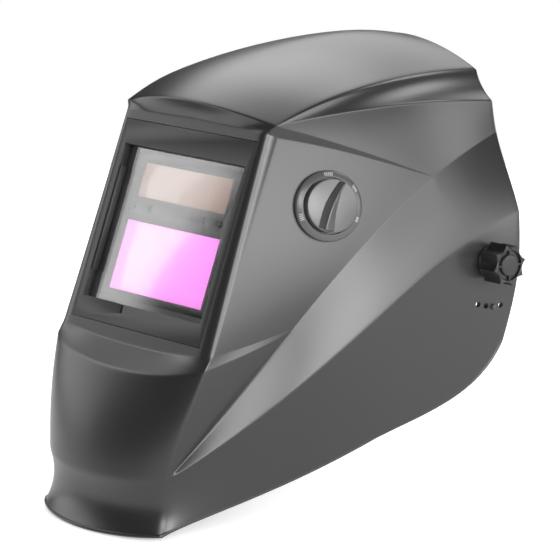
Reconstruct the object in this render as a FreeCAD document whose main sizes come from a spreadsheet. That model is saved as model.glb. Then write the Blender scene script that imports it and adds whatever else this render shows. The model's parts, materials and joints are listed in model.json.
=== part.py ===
import FreeCAD, Part
import math
import os
from FreeCAD import Placement, Rotation, Vector as V

# Welding helmet, in millimetres. The origin is the middle of the pivot axis, which runs
# along X through the two star knobs. +X is the wearer's left, -Y is ahead, +Z is up.
doc = FreeCAD.newDocument("welding_helmet")

# ---------------------------------------------------------------- driving dimensions
sheet = doc.addObject("Spreadsheet::Sheet", "dims")
DIMS = dict(
    # shell
    wall_side=3.2, lens_tilt=20.0, lens_y=-146.5, lens_z=19.0,
    # lens stack
    lcd_wide=92.0, lcd_high=42.0, sun_wide=87.0, sun_high=20.8, sun_top=35.5, glass=2.0,
    case_wide=110.0, case_high=90.0, case_deep=9.0, case_top=42.0,
    frame_wide=128.0, frame_high=121.8, frame_top=58.5, window_wide=118.0, window_high=93.7,
    window_top=43.5, cover_wide=121.0, cover_top=45.0, cover_high=97.0, cover_thick=1.0,
    # shade dial
    ring_r=20.5, dial_r=15.6, dial_y=-99.8, dial_z=39.0, neck_r=4.8,
    # pivot and star knob
    stud_r=4.0, spigot_r=6.0, hub_r=10.0, star_r=12.6, star_deep=15.5, star_face=131.0,
    stop_r=28.0,
    # headgear
    band_x=77.0, band_front=76.0, band_rear=58.0, front_y=-22.0, rear_y=22.0, band_thick=2.0,
    band_high=26.0, band_tilt=12.0, band_up=12.0, strap_top=98.0, knob_r=19.0)
for row, (alias, value) in enumerate(DIMS.items(), start=1):
    sheet.set("A%d" % row, alias)
    sheet.set("B%d" % row, "%g" % value)
    sheet.setAlias("B%d" % row, alias)
doc.recompute()


def dim(alias):
    return float(getattr(sheet, alias))


# ---------------------------------------------------------------- lens plane
TILT = math.radians(dim("lens_tilt"))
LENS_TURN = Rotation(V(1, 0, 0), -dim("lens_tilt"))


def lens_point(across, down, out):
    """A point by its place on the window: across, down from the LCD's top, out of its face."""
    return V(across, dim("lens_y") - down * math.sin(TILT) - out * math.cos(TILT),
             dim("lens_z") - down * math.cos(TILT) + out * math.sin(TILT))


# ---------------------------------------------------------------- shell surface
# The left half is a net of bicubic patches between named crease lines.
P = dict(
    K0=V(0, -139.5, 95), K1=V(73, -127.5, 86), KU=V(71, -125, 79), Z0=V(0, 25.5, 122.5),
    A1=V(68, 26, 107), B1=V(89.5, 20, 91), D0=V(91, 22.5, 71.9), E0=V(111, 23.5, 27),
    J1=V(58.7, -196, -114), J0=V(0, -210.5, -118), G1=V(74, -173.5, -41.5),
    H1=V(73.8, -179.5, -50), H0=V(0, -193.5, -57), C1=V(59, -200, -146),
    C0=V(0, -217.5, -148.5), R1=V(110.5, 12, -49.5), R2=V(93.5, -70, -99.5),
    T0=lens_point(0, -65.5, 8), T1=lens_point(64.5, -64, 8),
    S0=lens_point(0, 72, 8), S1=lens_point(65, 68, 8))


def curve(start, end, *handles):
    """A cubic's four poles; without handles it is a straight line."""
    a, b = (P[k] if isinstance(k, str) else k for k in (start, end))
    if not handles:
        handles = (a + (b - a) / 3.0, a + (b - a) * 2.0 / 3.0)
    return [a] + [V(*h) for h in handles] + [b]


def cut_curve(c, t):
    """The poles of a cubic's two halves, cut at t."""
    ab, bc, cd = (c[i] + (c[i + 1] - c[i]) * t for i in range(3))
    abc, bcd = ab + (bc - ab) * t, bc + (cd - bc) * t
    mid = abc + (bcd - abc) * t
    return [c[0], ab, abc, mid], [mid, bcd, cd, c[3]]


def point(p):
    return [p] * 4


def toward(c, p):
    """The curve turned so that it starts at p."""
    return c if (c[0] - p).Length <= (c[3] - p).Length else c[::-1]


def quad(a, b, c, d):
    """Coons poles net[i][j] inside a loop of four curves, i along a and j along b."""
    ends = [(p - q).Length for p in (a[0], a[3]) for q in (b[0], b[3])]
    a = a if min(ends[2:]) <= min(ends[:2]) else a[::-1]
    b, d = toward(b, a[3]), toward(d, a[0])
    c = toward(c, d[3])
    net = []
    for i in range(4):
        u = i / 3.0
        row = [a[i]]
        for j in (1, 2):
            v = j / 3.0
            sides = a[i] * (1 - v) + c[i] * v + d[j] * (1 - u) + b[j] * u
            row.append(sides - (a[0] * (1 - u) + a[3] * u) * (1 - v) - (c[0] * (1 - u) + c[3] * u) * v)
        net.append(row + [c[i]])
    return [[p for p in d]] + net[1:3] + [[p for p in b]]


def cut_net(net, t):
    """A patch's poles split in two at i = t."""
    columns = [cut_curve([row[j] for row in net], t) for j in range(4)]
    return [[[columns[j][k][i] for j in range(4)] for i in range(4)] for k in (0, 1)]


brow = curve("K0", "K1", (27, -139.5, 95), (50, -135, 91.5))
ridge = curve("K0", "Z0", (0, -101.5, 124.5), (0, -0.6, 134.4))
line_a = curve("K1", "A1", (83.3, -96.9, 107.5), (79.1, -11.8, 112.5))
line_b = curve("K1", "B1", (86.4, -82, 93.9), (95.5, -29, 97.4))
line_d = curve("D0", "J1", (112.5, -93, 41), (74.4, -129, -51.9))
line_e = curve("E0", "J1", (116.4, -61.9, 5.5), (104.3, -106.2, -57.5))
rear = [curve("Z0", "A1", (25, 25.5, 122.5), (50, 26, 115)),
        curve("A1", "B1", (72, 25.5, 98), (81.5, 22.5, 94)),
        curve("B1", "D0", (90, 20.5, 84.5), (89.8, 21.7, 78)),
        curve("D0", "E0", (97.5, 21, 58.5), (106.5, 22.5, 42))]
rim = [curve("E0", "R1", (115, 21.8, 0), (113.9, 22.1, -14)),
       curve("R1", "R2", (106.5, -3, -81), (101.5, -38.5, -87)),
       curve("R2", "C1", (77, -131, -128), (60.5, -180, -138))]
# The blade is one surface between lines D and E, cut where other creases reach it.
blade_a, blade_b = cut_net(quad(line_d, point(P["J1"]), line_e, rear[3]), 0.172)
blade_b, blade_c = cut_net(blade_b, (0.599 - 0.172) / (1 - 0.172))
d_a, d_b, d_c = ([row[0] for row in net] for net in (blade_a, blade_b, blade_c))
e_a, e_b, e_c = ([row[3] for row in net] for net in (blade_a, blade_b, blade_c))
line_cu = curve("K1", d_b[0], (80.5, -97, 77.5), (92.5, -63, 64))
line_cl = curve("KU", d_b[0], (80, -95, 73.3), (91.5, -64, 62))
line_fu = curve("G1", d_c[0], (76.3, -156.6, -38.9), (79, -139.8, -35.7))
line_fl = curve("H1", d_c[0], (77, -160.4, -44.8), (80.3, -141.5, -39.1))
brow_end, front_side, fold = curve("K1", "KU"), curve("KU", "G1"), curve("G1", "H1")
front_top, front_mid, front_edge = curve("T0", "T1"), curve("T0", "S0"), curve("T1", "S1")
low, high = lens_point(0, 72, 8), lens_point(0, 70.5, 8)
front_foot = curve("S0", "S1", (30, low.y, low.z), (50, high.y, high.z))
round_top = curve("T1", "KU", lens_point(68.5, -64, 8), lens_point(71, -64, 4.5))
round_foot = curve("S1", "G1", lens_point(70, 68, 8), lens_point(73, 67, 6.5))
cove_mid, cove_end = curve("K0", "T0", (0, -136, 91.5), (0, -133, 88.5)), curve("K1", "T1")
shelf_mid, shelf_end = curve("S0", "H0"), curve("S1", "H1")
line_h = curve("H0", "H1", (30, -193.5, -57), (60, -189, -54.5))
line_j = curve("J0", "J1", (25, -210.5, -118), (46, -206, -116.5))
line_c = curve("C0", "C1", (25, -217.5, -148.5), (48, -210, -147))
jaw_mid = curve("H0", "J0", (0, -201.5, -77), (0, -208.5, -98))
jaw_end = curve("H1", "J1", (70.5, -187, -71), (64, -193, -93))
chin_mid = curve("J0", "C0", (0, -206.5, -127), (0, -209.5, -141))
chin_end = curve("J1", "C1", (56.5, -192, -125), (56, -195, -138))
wall_a = curve(e_b[0], "R1", (113.5, -8, -8), (113, 4, -29))
wall_b = curve(e_c[0], "R2", (97.5, -93, -62), (95.5, -81, -81))

NETS = [
    quad(brow, line_a, rear[0], ridge),                        # dome
    quad(line_a, rear[1], line_b, point(P["K1"])),             # hollow band beside it
    quad(line_b, rear[2], d_a, line_cu),                       # upper side
    quad(line_cu, point(d_b[0]), line_cl, brow_end),           # step below it
    quad(line_cl, d_b, line_fu, front_side),                   # middle side, with the dial
    blade_a, blade_b, blade_c,
    quad(e_a, wall_a, rim[0], point(P["E0"])),                 # lower wall, with the pivot
    quad(e_b, wall_b, rim[1], wall_a),
    quad(e_c, chin_end, rim[2], wall_b),
    quad(line_fu, point(d_c[0]), line_fl, fold),               # sliver over the jaw
    quad(line_fl, d_c, point(P["J1"]), jaw_end),               # jaw, side and front
    quad(line_h, jaw_end, line_j, jaw_mid),
    quad(line_j, chin_end, line_c, chin_mid),                  # chin flare
    quad(front_top, front_edge, front_foot, front_mid),        # flat front and its rounding
    quad(round_top, front_side, round_foot, front_edge),
    quad(brow, cove_end, front_top, cove_mid),                 # hollow under the brow
    quad(cove_end, round_top, point(P["KU"]), brow_end),
    quad(front_foot, shelf_end, line_h, shelf_mid),            # shelf under the window
    quad(shelf_end, fold, point(P["G1"]), round_foot)]


def inset(p):
    """The inner skin's point for an outer one: a little inwards on each axis."""
    side = dim("wall_side")
    lead = -(p.y - dim("lens_y")) * math.cos(TILT) + (p.z - dim("lens_z")) * math.sin(TILT)
    brow_in = 2.5 * min(max((lead - 8) / 11.0, 0), 1) if p.z > 70 else 0
    return V(p.x * (1 - side / 113.0), p.y + side * (35 - p.y) / 250.0 + brow_in,
             p.z - side * (p.z + 60) / 190.0)


def bezier_face(net):
    surface = Part.BezierSurface()
    surface.increase(3, 3)
    for i, row in enumerate(net, start=1):
        for j, p in enumerate(row, start=1):
            surface.setPole(i, j, p)
    return surface.toShape()


def mirrored(net):
    return [[V(-p.x, p.y, p.z) for p in row] for row in net]


def shell_solid():
    inner = [[[inset(p) for p in row] for row in net] for net in NETS]
    lips = []
    for c in rear + rim + [line_c]:
        low = [inset(p) for p in c]
        lips.append([[a + (b - a) * (k / 3.0) for k in range(4)] for a, b in zip(c, low)])
    half = NETS + inner + lips
    faces = [bezier_face(net) for net in half] + [bezier_face(mirrored(net)) for net in half]
    skin = Part.makeShell(faces)
    skin.sewShape(0.001)
    shells = skin.Shells if skin.Shells else [skin]
    solid = Part.Solid(shells[0])
    if solid.Volume < 0:
        solid.reverse()
    return solid




# ---------------------------------------------------------------- building helpers
PARTS = {}
LENS = Placement(lens_point(0, 0, 0), LENS_TURN)
BAND = Placement(V(0, 0, dim("band_up")), Rotation(V(1, 0, 0), -dim("band_tilt")))


def part(node, thing, place=None):
    thing.Label = node
    if place:
        thing.Placement = place
    PARTS[node] = thing
    return thing


def block(name, x, y, z):
    """A box between two values on each axis; a value may be an expression on the sheet."""
    thing = doc.addObject("Part::Box", name)
    for size, axis, (low, high) in (("Length", "x", x), ("Width", "y", y), ("Height", "z", z)):
        thing.setExpression(size, "(%s) - (%s)" % (high, low))
        thing.setExpression("Placement.Base." + axis, "(%s) * 1" % low)
    return thing


def lens_block(name, across, down, out):
    """A box in the window's own frame, which faces -Y with its rows running down -Z."""
    return block(name, across, ["-(%s)" % v for v in out[::-1]], ["-(%s)" % v for v in down[::-1]])


TURNS = {"x": Rotation(V(0, 1, 0), 90), "y": Rotation(V(1, 0, 0), -90), "z": Rotation()}


def rod(name, radius, axis, span, centre=(0, 0)):
    """A cylinder along an axis between two values; centre gives the other two coordinates."""
    thing = doc.addObject("Part::Cylinder", name)
    others = iter(centre)
    thing.Placement = Placement(V(0, 0, 0), TURNS[axis])
    for letter in "xyz":
        value = span[0] if letter == axis else next(others)
        thing.setExpression("Placement.Base." + letter, "(%s) * 1" % value)
    thing.setExpression("Radius", "(%s) * 1" % radius)
    thing.setExpression("Height", "(%s) - (%s)" % (span[1], span[0]))
    return thing


def union(name, *things):
    if len(things) == 1:
        return things[0]
    thing = doc.addObject("Part::MultiFuse", name)
    thing.Shapes = list(things)
    return thing


def minus(name, base, *tools):
    thing = doc.addObject("Part::Cut", name)
    thing.Base, thing.Tool = base, union(name + "_away", *tools)
    return thing


def feature(name, shape):
    thing = doc.addObject("Part::Feature", name)
    thing.Shape = shape
    return thing


def placed(node, place, *things):
    """A part made of one or more solids, moved to its place together."""
    thing = doc.addObject("Part::Compound", node + "_placed")
    thing.Links = list(things)
    return part(node, thing, place)


def mirror(node, source):
    """The right-hand twin of a part."""
    thing = doc.addObject("Part::Mirroring", node)
    thing.Source, thing.Normal = source, V(1, 0, 0)
    return part(node, thing)


# ---------------------------------------------------------------- shell
raw = shell_solid()
facet = bezier_face(NETS[4])
sight = Part.makeLine(V(60, dim("dial_y"), dim("dial_z")), V(130, dim("dial_y"), dim("dial_z")))
DIAL_AT = facet.distToShape(sight)[1][0][0]
normal = facet.Surface.normal(*facet.Surface.parameter(DIAL_AT))
normal = normal if normal.x > 0 else -normal
DIAL = Placement(DIAL_AT, Rotation(V(0, 1, 0), V(0, 0, 1), normal, "ZXY"))
HOLES = [(-8, -25), (-2, -26.5), (3.3, -27.6), (9, -27.2)]
PEG = HOLES[2]

tools = [Part.makeBox(dim("frame_wide") + 0.6, 14, dim("frame_high") + 0.6,
                      V(-dim("frame_wide") / 2 - 0.3, -12, dim("frame_top") - dim("frame_high") - 0.3))]
tools[0].Placement = LENS
for sign in (1, -1):
    tools.append(Part.makeCylinder(dim("spigot_r") + 0.06, 30, V(95 * sign, 0, 0), V(sign, 0, 0)))
    for y, z in HOLES:
        tools.append(Part.makeCylinder(1.75, 30, V(95 * sign, y, z), V(sign, 0, 0)))
tools.append(Part.makeCylinder(dim("neck_r") + 0.3, 20, DIAL_AT - normal * 10, normal))
part("shell", feature("shell_skin", raw.cut(tools)))

# ---------------------------------------------------------------- window stack
core = union("frame_solid",
             lens_block("frame_island", ("-dims.frame_wide / 2", "dims.frame_wide / 2"),
                        ("-dims.frame_top", "dims.frame_high - dims.frame_top"), (3, 8)),
             lens_block("frame_well", (-62.5, 62.5), (-47.5, 54.5), (-9, 3)),
             lens_block("frame_tab_top", (-60, 60), (-62.5, -58.5), (3, 4.8)),
             lens_block("frame_tab_foot", (-60, 60), (62, 66.5), (3, 4.8)),
             *[lens_block("hinge_ear_%d" % k, (x, x + 5), (50.5, 58.5), (-14.5, -9))
               for k, x in enumerate((-29, 24))])
window = ("-dims.window_wide / 2", "dims.window_wide / 2")
part("lens_frame", minus("lens_frame_cut", core,
     lens_block("view", window, ("-dims.window_top", "dims.window_high - dims.window_top"), (2, 9)),
     lens_block("cover_seat", ("-dims.cover_wide / 2 - 0.3", "dims.cover_wide / 2 + 0.3"),
                ("-dims.cover_top - 0.3", "dims.cover_high - dims.cover_top + 0.3"), (1.9, 3)),
     lens_block("case_mouth", (-54, 54), (-41, 47), (0.8, 2)),
     lens_block("case_seat", ("-dims.case_wide / 2 - 0.4", "dims.case_wide / 2 + 0.4"),
                ("-dims.case_top - 0.4", "dims.case_high - dims.case_top + 0.4"), (-10, 0.8)),
     lens_block("nail_notch", (-19.4, -16.4), (50, 55.6), (5, 9)),
     lens_block("cable_notch", (54, 63), (-29, -21), (-10, -2)),
     rod("ear_bore", 1.36, "x", (-40, 40), (11.7, -54.5))), LENS)
placed("cover_lens", LENS, lens_block("cover_lens_sheet", ("-dims.cover_wide / 2", "dims.cover_wide / 2"),
     ("-dims.cover_top", "dims.cover_high - dims.cover_top"), (2, "2 + dims.cover_thick")))
part("filter_case", minus("case_cut", union("case_solid",
     lens_block("case_block", ("-dims.case_wide / 2", "dims.case_wide / 2"),
                ("-dims.case_top", "dims.case_high - dims.case_top"), (-8.2, "dims.case_deep - 8.2")),
     lens_block("rail_top", (-53, 53), (-5.5, -3), (-10.6, -8.2)),
     lens_block("rail_foot", (-53, 53), (45, 47.5), (-10.6, -8.2))),
     lens_block("lcd_seat", ("-dims.lcd_wide / 2 - 0.1", "dims.lcd_wide / 2 + 0.1"),
                (-0.1, "dims.lcd_high + 0.1"), (-2, 2)),
     lens_block("view_hole", ("2 - dims.lcd_wide / 2", "dims.lcd_wide / 2 - 2"),
                (2, "dims.lcd_high - 2"), (-9, 0)),
     lens_block("sun_seat", ("-dims.sun_wide / 2 - 0.1", "dims.sun_wide / 2 + 0.1"),
                ("-dims.sun_top - 0.1", "dims.sun_high - dims.sun_top + 0.1"), (-1.2, 2)),
     *[rod("eye_seat_%d" % k, 2.3, "y", (-1, 3), (x, 8.3)) for k, x in enumerate((-43, -26, 26, 43))],
     *[rod("trim_seat_%d" % k, 2.56, "y", (2, 9), (x, 25)) for k, x in enumerate((-22, 8))]), LENS)
placed("lcd_panel", LENS, lens_block("lcd_sheet", ("-dims.lcd_wide / 2", "dims.lcd_wide / 2"),
     (0, "dims.lcd_high"), ("-dims.glass", 0)))
placed("solar_cell", LENS, lens_block("sun_sheet", ("-dims.sun_wide / 2", "dims.sun_wide / 2"),
     ("-dims.sun_top", "dims.sun_high - dims.sun_top"), (-1.2, 0)))
placed("arc_sensors", LENS, *[rod("eye_%d" % k, 2.2, "y", (0, 3), (x, 8.3))
                              for k, x in enumerate((-43, -26, 26, 43))])
placed("inner_lens", LENS, lens_block("inner_sheet", (-52, 52), (-2.8, 44.8), (-9.3, -8.3)))
part("battery_cover", minus("battery_slotted", rod("battery_disc", 11, "y", (8.3, 10.3), (38, 25)),
     block("coin_slot", (32, 44), (9.5, 11), (24, 26))), LENS)
for node, x in (("sensitivity_knob", -22), ("delay_knob", 8)):
    part(node, minus(node + "_cut", union(node + "_solid", rod(node + "_grip", 7, "y", (8.8, 15), (x, 25)),
                     rod(node + "_stem", 2.5, "y", (3, 9), (x, 25))),
         block(node + "_slot", (x - 1, x + 1), (13.5, 16), (19, 31))), LENS)
part("retainer", minus("retainer_cut", union("retainer_solid",
     lens_block("retainer_plate", (-60, 60), (-46, 49.2), (-13.2, -11)),
     lens_block("retainer_foot", (-22, 22), (48, 54.5), (-13.2, -11)),
     rod("retainer_barrel", 2.2, "x", (-23, 23), (11.7, -54.5)),
     rod("retainer_pin", 1.3, "x", (-29, 29), (11.7, -54.5))),
     lens_block("retainer_view", (-51, 51), (-2, 44), (-14, -10)),
     lens_block("retainer_knobs", (-51, 51), (-39, -9), (-14, -10))), LENS)

# ---------------------------------------------------------------- shade dial
ring_plate = rod("ring_plate", "dims.ring_r", "z", (0.5, 2))
bevel = feature("ring_bevel", Part.makeCone(dim("ring_r"), dim("ring_r") - 1.6, 2.4, V(0, 0, 2)))
part("dial_ring", minus("ring_cut", union("ring_solid", ring_plate, bevel),
     rod("ring_bowl", "dims.dial_r + 0.6", "z", (2, 5)),
     rod("ring_bore", "dims.neck_r + 0.3", "z", (0, 3))), DIAL)
flats = [math.radians(60 * k) for k in range(7)]
hexagon = Part.Face(Part.makePolygon([V(7.5 * math.cos(a), 7.5 * math.sin(a), 2.02) for a in flats]))
nut_bore = Part.makeCylinder(dim("neck_r") + 0.02, 5, V(0, 0, 1))
part("dial_nut", feature("nut_hex", hexagon.extrude(V(0, 0, 2)).cut(nut_bore)), DIAL)
part("dial_pot", minus("pot_cut", union("pot_solid", rod("pot_can", 9, "z", (-12, -4)),
     rod("pot_neck", "dims.neck_r", "z", (-5, 5))), rod("pot_bore", 3.06, "z", (-3, 6))), DIAL)
part("shade_dial", minus("dial_cut", union("dial_solid", rod("dial_disc", "dims.dial_r", "z", (4.6, 9)),
     block("dial_grip", (-14.5, 14.5), (-4.2, 4.2), (8.5, 13.5)), rod("dial_stem", 3, "z", (-2.5, 6))),
     minus("dial_hollow", rod("dial_bowl", 9, "z", (4.5, 6.5)), rod("dial_post", 3, "z", (4, 7))),
     minus("dial_round", block("dial_square", (-20, 20), (-20, 20), (8, 14)),
           rod("dial_keep", "dims.dial_r", "z", (7, 15)))), DIAL)
PARTS["shade_dial"].Placement = DIAL.multiply(Placement(V(0, 0, 0), Rotation(V(0, 0, 1), 60)))

start = LENS.multVec(V(55.1, 5.5, 25))
finish = DIAL.multVec(V(0, 0, -12.1))
path = Part.BSplineCurve()
path.interpolate([start, start + V(9, 2, 0), start + V(15, 9, -5), finish - normal * 10 + V(-4, -2, -6),
                  finish - normal * 5, finish], InitialTangent=V(1, 0, 0), FinalTangent=normal)
end_ring = Part.Wire(Part.makeCircle(1.4, start, V(1, 0, 0)))
pipe = Part.Wire(path.toShape()).makePipeShell([end_ring], True, True)
part("dial_cable", feature("cable", pipe))

# ---------------------------------------------------------------- pivots, left then mirrored
star = doc.addObject("PartDesign::Body", "star_body")
plane = [o for o in star.Origin.OriginFeatures if getattr(o, "Role", "") == "YZ_Plane"][0]


def sketch_on(name, lift):
    thing = star.newObject("Sketcher::SketchObject", name)
    thing.AttachmentSupport, thing.MapMode = (plane, ""), "FlatFace"
    thing.AttachmentOffset = Placement(V(0, 0, lift), Rotation())
    return thing


outline = sketch_on("star_outline", dim("star_face") - dim("star_deep"))
corners = []
for k in range(8):
    turn = math.radians(45 * k + 11)
    for swing, reach in ((-3.5, 1.0), (3.5, 1.0), (22.5, 0.79)):
        a, r = turn + math.radians(swing), dim("star_r") * reach
        corners.append(V(r * math.cos(a), r * math.sin(a), 0))
for k in range(8):
    a, b, c, d = (corners[(3 * k + n) % 24] for n in range(4))
    outline.addGeometry(Part.LineSegment(a, b))
    outline.addGeometry(Part.Arc(b, c, d))
pad = star.newObject("PartDesign::Pad", "star_pad")
pad.Profile = outline
pad.setExpression("Length", "dims.star_deep")
groove = sketch_on("star_ring", dim("star_face"))
groove.addGeometry(Part.Circle(V(0, 0, 0), V(0, 0, 1), 8.9))
groove.addGeometry(Part.Circle(V(0, 0, 0), V(0, 0, 1), 6.1))
dent = star.newObject("PartDesign::Pocket", "star_groove")
dent.Profile, dent.Length = groove, 2.2
bore = sketch_on("star_bore", dim("star_face") - dim("star_deep"))
bore.addGeometry(Part.Circle(V(0, 0, 0), V(0, 0, 1), dim("stud_r") + 0.05))
drill = star.newObject("PartDesign::Pocket", "star_drill")
drill.Profile, drill.Length, drill.Reversed = bore, 11.5, True
part("star_knob_left", star)
mirror("star_knob_right", star)
arm = union("arm_solid", rod("arm_plate", 14, "x", ("dims.band_x + dims.band_thick", 83.5)),
            rod("arm_hub", "dims.hub_r", "x", (83, 105.4)),
            rod("arm_spigot", "dims.spigot_r", "x", (105, 113.9)))
part("side_arm_left", minus("arm_cut", arm, rod("arm_bore", "dims.stud_r + 0.05", "x", (79, 115)),
                            rod("arm_sink", 7.9, "x", (79, 83.1))))
part("pivot_stud_left", union("stud_solid", rod("stud_head", 7.5, "x", (80.3, 83)),
                              rod("stud_shaft", "dims.stud_r", "x", (82.5, 126.3))))
part("friction_washer_left", minus("washer_cut", rod("washer_disc", 10, "x", (114, 115.2)),
                                   rod("washer_bore", "dims.stud_r + 0.3", "x", (113, 116))))
bar = feature("stop_bar", Part.makeBox(2.4, dim("stop_r") + 3.5, 8, V(106, 0, -4)))
bar.Placement = Placement(V(0, 0, 0), Rotation(V(1, 0, 0), math.degrees(math.atan2(PEG[1], PEG[0]))))
part("tilt_stop_left", minus("stop_cut", union("stop_solid", rod("stop_ring", 11.5, "x", (106, 108.4)), bar,
                             rod("stop_peg", 1.6, "x", (107, 114), PEG)),
                             rod("stop_bore", "dims.spigot_r + 0.08", "x", (100, 110))))
for node in ("side_arm", "pivot_stud", "friction_washer", "tilt_stop"):
    mirror(node + "_right", PARTS[node + "_left"])


# ---------------------------------------------------------------- headgear
def loop(grow, front=None, rear=None):
    """The band's plan, grown outwards: a half ellipse ahead, straight sides, one behind."""
    x, y0, y1 = dim("band_x") + grow, dim("front_y"), dim("rear_y")
    front, rear = dim("band_front") + grow, dim("band_rear") + grow
    edges = []
    for y, depth, sign in ((y0, front, -1), (y1, rear, 1)):
        if abs(depth - x) < 1e-6:
            depth -= 1e-3
        ellipse = Part.Ellipse(V(x, y, 0), V(0, y + sign * depth, 0), V(0, y, 0))
        edges.append(Part.Arc(ellipse, 0, math.pi).toShape())
    edges += [Part.makeLine(V(s * x, y0, 0), V(s * x, y1, 0)) for s in (1, -1)]
    return Part.Face(Part.Wire(Part.__sortEdges__(edges)))


def ring(grow_in, grow_out, low, high, y_min=-300, y_max=300):
    """A strip of the band's plan between two offsets, two heights and two fore-aft limits."""
    strip = loop(grow_out).cut(loop(grow_in)).extrude(V(0, 0, high - low))
    strip.translate(V(0, 0, low))
    return strip.common(Part.makeBox(400, y_max - y_min, 400, V(-200, y_min, -200)))


half, thick = dim("band_high") / 2, dim("band_thick")
part("front_headband", feature("front_band", ring(0, thick, -half, half, y_max=16)), BAND)
part("sweatband", feature("brow_pad", ring(-5.8, -0.3, -half - 3, half + 3, y_max=-42)), BAND)
part("rear_band", feature("rear_strap", ring(-2.1, -0.3, -9, 9, y_min=-18)), BAND)
part("rear_pad", feature("nape_pad", ring(-7.4, -2.4, -14, 14, y_min=52)), BAND)
rear_end = dim("rear_y") + dim("band_rear")
part("ratchet_housing", minus("housing_cut", block("housing_block", (-26, 26), (rear_end + 0.1, rear_end + 10),
     (-15, 15)), rod("housing_bore", 4.06, "y", (rear_end + 3, rear_end + 11))), BAND)
part("size_knob", union("knob_solid", rod("knob_disc", "dims.knob_r", "y", (rear_end + 10.4, rear_end + 20)),
     rod("knob_stem", 4, "y", (rear_end + 4, rear_end + 12))), BAND)


def arch(extra):
    """The space under the crown strap: a half ellipse on a box, grown by extra."""
    x, top = dim("band_x") + thick + extra, dim("strap_top") - 13 + extra
    disc = Part.makeCylinder(x, 18, V(0, 9, 0), V(0, -1, 0))
    squeeze = FreeCAD.Matrix()
    squeeze.scale(1, 1, top / x)
    disc = disc.transformGeometry(squeeze).common(Part.makeBox(300, 40, 150, V(-150, -20, 0)))
    disc.translate(V(0, 0, 13))
    return disc.fuse(Part.makeBox(2 * x, 18, 10, V(-x, -9, 3)))


crown = arch(1.6).cut(arch(0))
for node, low in (("strap_left", -29.9), ("strap_right", -250)):
    piece = crown.common(Part.makeBox(220, 60, 300, V(low, -30, 3)))
    part(node, feature(node + "_strip", piece), BAND)

# ---------------------------------------------------------------- check and write
doc.recompute()
os.makedirs("parts", exist_ok=True)
bad = [o.Label for o in doc.Objects if {"Invalid", "Error"} & set(o.State)]
for node, thing in PARTS.items():
    shape = thing.Shape
    if shape.isNull() or not shape.isValid() or not shape.Solids:
        bad.append(node)
        continue
    shape.exportStep("parts/%s.step" % node)
    box = shape.BoundBox
    print("%-22s %2d solids %9.0f mm3  x %7.1f %7.1f  y %7.1f %7.1f  z %7.1f %7.1f" % (
        node, len(shape.Solids), shape.Volume, box.XMin, box.XMax, box.YMin, box.YMax, box.ZMin, box.ZMax))
print(len(PARTS), "parts; faults:", bad)
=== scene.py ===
# %% [markdown]
# # Welding helmet
# A moulded shell with a dark window, worn on a ratchet headgear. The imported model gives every
# size and every moving body. This file puts the looks on it, piece by piece, each before the
# finish it needs. Lengths in the shell's design table are millimetres, as on a drawing, and
# everything handed to Blender is in metres.

# %% Load the frame and keep its box
import json
import math

import bmesh
import bpy
import numpy as np
from mathutils import Matrix, Vector

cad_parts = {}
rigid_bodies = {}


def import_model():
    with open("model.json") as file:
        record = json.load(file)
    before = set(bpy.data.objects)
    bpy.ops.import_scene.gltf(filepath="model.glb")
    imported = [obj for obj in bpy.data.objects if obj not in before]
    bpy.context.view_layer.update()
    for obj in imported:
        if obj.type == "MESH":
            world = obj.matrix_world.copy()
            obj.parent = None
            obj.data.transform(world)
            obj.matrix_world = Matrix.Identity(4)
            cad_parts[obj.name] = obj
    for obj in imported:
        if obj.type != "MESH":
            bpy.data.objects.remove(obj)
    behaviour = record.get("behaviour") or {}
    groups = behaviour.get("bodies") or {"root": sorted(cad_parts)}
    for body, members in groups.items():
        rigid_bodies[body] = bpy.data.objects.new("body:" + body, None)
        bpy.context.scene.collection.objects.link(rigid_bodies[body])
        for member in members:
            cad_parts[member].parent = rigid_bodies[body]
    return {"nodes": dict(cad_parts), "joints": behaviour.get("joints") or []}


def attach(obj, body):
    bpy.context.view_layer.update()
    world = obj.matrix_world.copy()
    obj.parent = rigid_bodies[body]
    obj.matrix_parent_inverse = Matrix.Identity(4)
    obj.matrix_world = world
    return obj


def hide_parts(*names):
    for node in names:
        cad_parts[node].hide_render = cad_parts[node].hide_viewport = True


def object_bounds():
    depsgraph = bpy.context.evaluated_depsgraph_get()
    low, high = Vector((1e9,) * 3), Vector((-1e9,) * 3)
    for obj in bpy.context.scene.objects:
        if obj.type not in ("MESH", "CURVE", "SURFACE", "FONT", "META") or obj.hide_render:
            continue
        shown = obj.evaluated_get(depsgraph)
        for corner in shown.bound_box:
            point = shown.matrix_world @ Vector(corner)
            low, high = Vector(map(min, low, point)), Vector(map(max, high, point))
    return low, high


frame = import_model()
cad_box = [list(corner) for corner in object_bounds()]

# %% [markdown]
# ## Camera and room
# A dark satin object is drawn by what it reflects. One bright room would turn it flat grey,
# so the room is left dark and the soft panels come later, when the shell they light is there.
# The surround is white only where the camera looks straight at it. The camera stands two
# metres off with a long lens, so the shape is nearly free of perspective.


# %% Camera
def aim(thing, place, target):
    """Turn a camera or lamp at place so that it looks at target."""
    thing.location = place
    thing.rotation_euler = (Vector(target) - Vector(place)).to_track_quat("-Z", "Y").to_euler()


azimuth, rise = math.radians(54.1), math.radians(9.61)
sight = Vector((math.sin(azimuth) * math.cos(rise), -math.cos(azimuth) * math.cos(rise), math.sin(rise)))
look_at = Vector((0.0403, -0.0993, -0.0106))
camera = bpy.data.objects.new("camera", bpy.data.cameras.new("camera"))
camera.data.sensor_width, camera.data.lens = 36.0, 219.9
aim(camera, Vector((0.0, -0.1465, 0.019)) + sight * 2.0, look_at)
bpy.context.scene.collection.objects.link(camera)
bpy.context.scene.camera = camera
print("lens", camera.data.lens, "mm at", [round(x, 3) for x in camera.location])


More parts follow.
